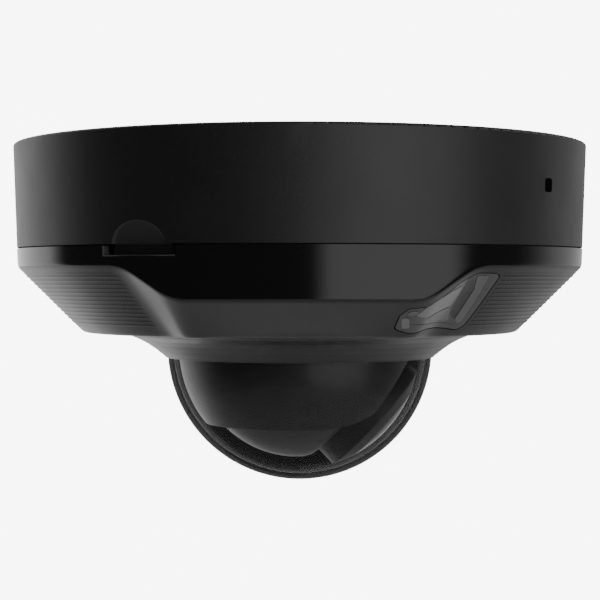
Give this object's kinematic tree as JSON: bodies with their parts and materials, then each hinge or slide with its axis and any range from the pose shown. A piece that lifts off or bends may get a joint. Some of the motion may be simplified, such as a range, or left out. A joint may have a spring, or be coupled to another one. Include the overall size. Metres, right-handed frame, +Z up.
{
  "type": "dome cctv camera",
  "caption": "Ceiling dome camera: round matte housing, faceted cover with side grilles and lamp windows, clear dome over a black liner and a camera ball that pans, tilts and rolls.",
  "frame": {"origin": "centre of the ceiling face, on the top plane of the mounting plate", "axes": "+Z up into the ceiling, +X the way the camera faces, +Y the camera's left"},
  "size_m": [0.15, 0.15, 0.0878],
  "materials": {
    "housing": "fine matte powder coat",
    "cover": "smooth semi-gloss moulding, satin below",
    "grille": "fine rows of small dimples",
    "ring": "satin",
    "dome": "clear polished dome, slightly smoked",
    "lamp_window": "smoked satin window",
    "latch": "ribbed",
    "liner": "dull black",
    "ball": "satin",
    "lens_hood": "satin",
    "front_glass": "coated convex window",
    "lens_tube": "anodised black",
    "optics": "coated lens",
    "sensor": "sensor cover glass",
    "filter": "blue-green day filter",
    "lamp": "clear lamp with reflector",
    "reflector": "bright moulded reflector",
    "black_plastic": "moulded black",
    "rubber": "matte",
    "circuit_board": "green solder mask",
    "bare_metal": "plated sheet",
    "cast_metal": "die cast",
    "steel": "zinc plated",
    "gold": "gold plated",
    "copper": "enamelled winding"
  },
  "bodies": {
    "mount": {"mount_plate": "bare_metal", "mount_studs": "steel"},
    "base": {"base_housing": "housing", "cable_grommet": "rubber", "lock_screw": "steel", "main_board": "circuit_board", "board_screws": "steel", "ethernet_jack": "bare_metal", "jack_contacts": "gold", "memory_card_slot": "bare_metal", "memory_card": "black_plastic", "processor_chip": "black_plastic", "heat_pad": "rubber", "heat_sink": "cast_metal", "power_coils": "black_plastic", "capacitors": "bare_metal", "reset_switch": "black_plastic", "chassis": "cast_metal", "chassis_screws": "steel", "cover_shell": "cover", "front_grille": "grille", "rear_grille": "grille", "lamp_window_right": "lamp_window", "lamp_window_left": "lamp_window", "cover_gasket": "rubber", "dome_ring": "ring", "dome_bubble": "dome", "dome_gasket": "rubber", "dome_clamp": "black_plastic", "dome_screws": "steel", "lamp_boards": "circuit_board", "lamps": "lamp", "lamp_reflectors": "reflector", "speaker": "black_plastic", "microphone": "bare_metal", "bearing_ring": "black_plastic"},
    "latch": {"cover_latch": "latch"},
    "reset": {"reset_button": "black_plastic"},
    "pan": {"pan_ring": "black_plastic", "yoke_arms": "black_plastic", "liner": "liner"},
    "tilt": {"ball_front": "ball", "ball_rear": "ball", "tilt_pins": "steel", "roll_ring": "black_plastic"},
    "lens": {"lens_hood": "lens_hood", "front_glass": "front_glass", "lens_tube": "lens_tube", "lens_elements": "optics", "sensor_board": "circuit_board", "image_sensor": "sensor", "lens_mount": "black_plastic", "filter_coil": "copper"},
    "filter": {"filter_carrier": "black_plastic", "filter_glass": "filter"}
  },
  "joints": [
    {"name": "twist_lock", "type": "hinge", "parent": "mount", "child": "base", "pos_m": [0, 0, 0], "axis": [0, 0, 1], "range_deg": [0, 20]},
    {"name": "latch_press", "type": "slide", "parent": "base", "child": "latch", "axis": [0.497, 0.8678, 0], "range_m": [0, 0.0012], "stiffness_N_per_m": 400, "springref_m": -0.001},
    {"name": "reset_press", "type": "slide", "parent": "base", "child": "reset", "axis": [0, 0, 1], "range_m": [0, 0.0005], "stiffness_N_per_m": 600, "springref_m": -0.0005},
    {"name": "pan", "type": "hinge", "parent": "base", "child": "pan", "pos_m": [0, 0, -0.037], "axis": [0, 0, 1], "range_deg": [-175, 175]},
    {"name": "tilt", "type": "hinge", "parent": "pan", "child": "tilt", "pos_m": [-0.0007, 0, -0.055], "axis": [0, 1, 0], "range_deg": [-17, 35]},
    {"name": "roll", "type": "hinge", "parent": "tilt", "child": "lens", "pos_m": [0.00045, 0, -0.05375], "axis": [0.7373, 0, -0.6756], "range_deg": [-90, 90]},
    {"name": "filter_slide", "type": "slide", "parent": "lens", "child": "filter", "axis": [0.6756, 0, 0.7373], "range_m": [0, 0.0104]}
  ]
}
